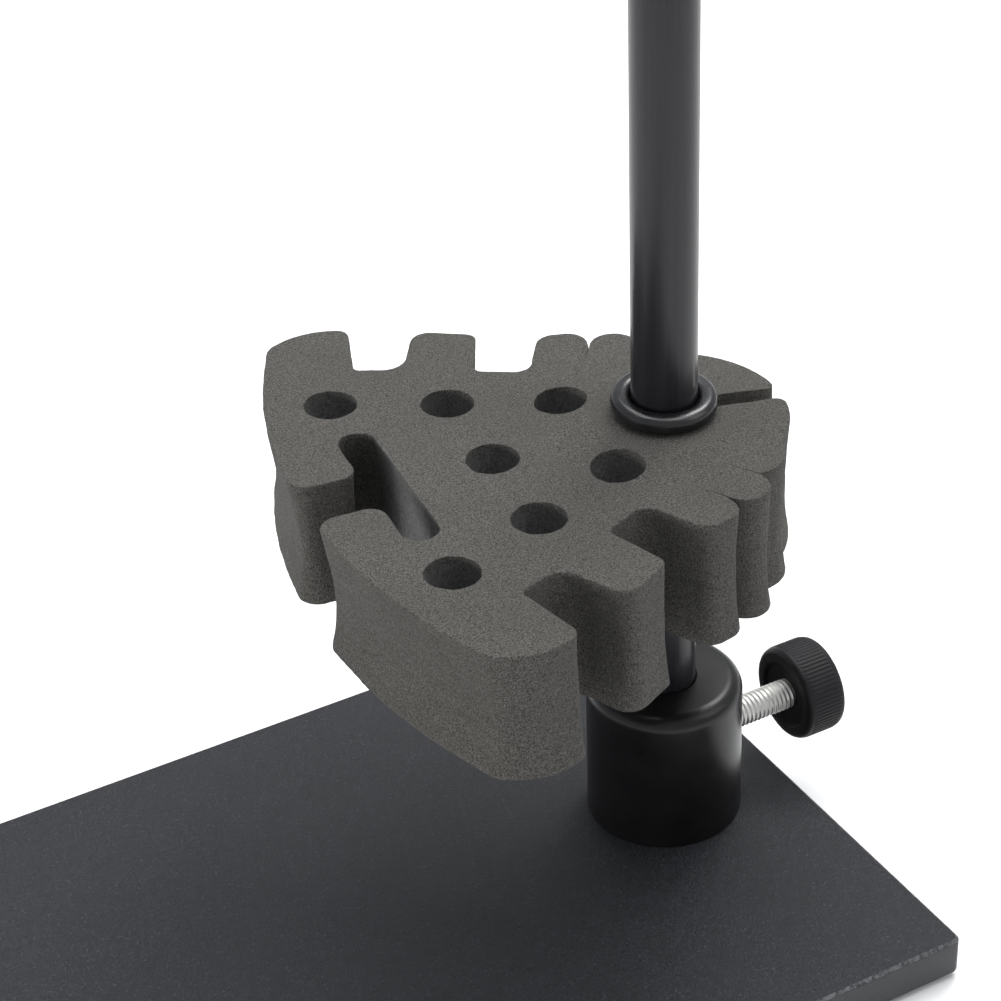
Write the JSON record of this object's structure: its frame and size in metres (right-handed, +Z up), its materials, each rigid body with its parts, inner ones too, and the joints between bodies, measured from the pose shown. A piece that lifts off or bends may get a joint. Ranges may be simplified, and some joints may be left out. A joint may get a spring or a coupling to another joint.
{
  "type": "fly tying tool organizer",
  "caption": "Fan-shaped foam tool caddy held by rubber rings on a slim round post, which a thumb screw clamps in a hub on a flat rectangular metal base.",
  "frame": {"origin": "on the post's axis, at the underside of the base pad", "axes": "+Z up along the post; +X along the plate's long side, from the post to the clamp knob and the plate's near edge; the caddy's fan points along -X, turned a little about the post"},
  "size_m": [0.1617, 0.105, 0.2075],
  "materials": {
    "pad_rubber": "matte",
    "powder_coat": "matte",
    "black_paint": "satin",
    "screw_steel": "satin",
    "gloss_black": "gloss",
    "zinc_steel": "satin",
    "knob_plastic": "satin",
    "ring_rubber": "satin",
    "foam": "matte"
  },
  "bodies": {
    "base": {"base_pad": "pad_rubber", "base_plate": "powder_coat", "hub": "black_paint", "hub_screw_1": "screw_steel", "hub_screw_2": "screw_steel", "hub_screw_3": "screw_steel"},
    "post": {"post": "gloss_black"},
    "clamp_stud": {"clamp_stud": "zinc_steel"},
    "clamp_knob": {"clamp_knob": "knob_plastic"},
    "lower_ring": {"lower_ring": "ring_rubber"},
    "foam_caddy": {"foam_caddy": "foam"},
    "upper_ring": {"upper_ring": "ring_rubber"}
  },
  "joints": [
    {"name": "post_height", "type": "slide", "parent": "base", "child": "post", "axis": [0, 0, 1], "range_m": [0, 0.008]},
    {"name": "clamp_advance", "type": "slide", "parent": "base", "child": "clamp_stud", "axis": [1, 0, 0], "range_m": [0, 0.0048]},
    {"name": "clamp_turn", "type": "hinge", "parent": "clamp_stud", "child": "clamp_knob", "pos_m": [0.0233, 0, 0.0195], "axis": [1, 0, 0], "range_deg": [0, 2160]},
    {"name": "caddy_height", "type": "slide", "parent": "post", "child": "lower_ring", "axis": [0, 0, 1], "range_m": [-0.022, 0.085]},
    {"name": "caddy_swivel", "type": "hinge", "parent": "lower_ring", "child": "foam_caddy", "pos_m": [0, 0, 0.0602], "axis": [0, 0, 1], "continuous": true},
    {"name": "upper_ring_slide", "type": "slide", "parent": "lower_ring", "child": "upper_ring", "axis": [0, 0, 1], "range_m": [0, 0.03]}
  ],
  "couplings": [
    {"joint": "clamp_turn", "follows": "clamp_advance", "rad_per_m": 7854}
  ]
}
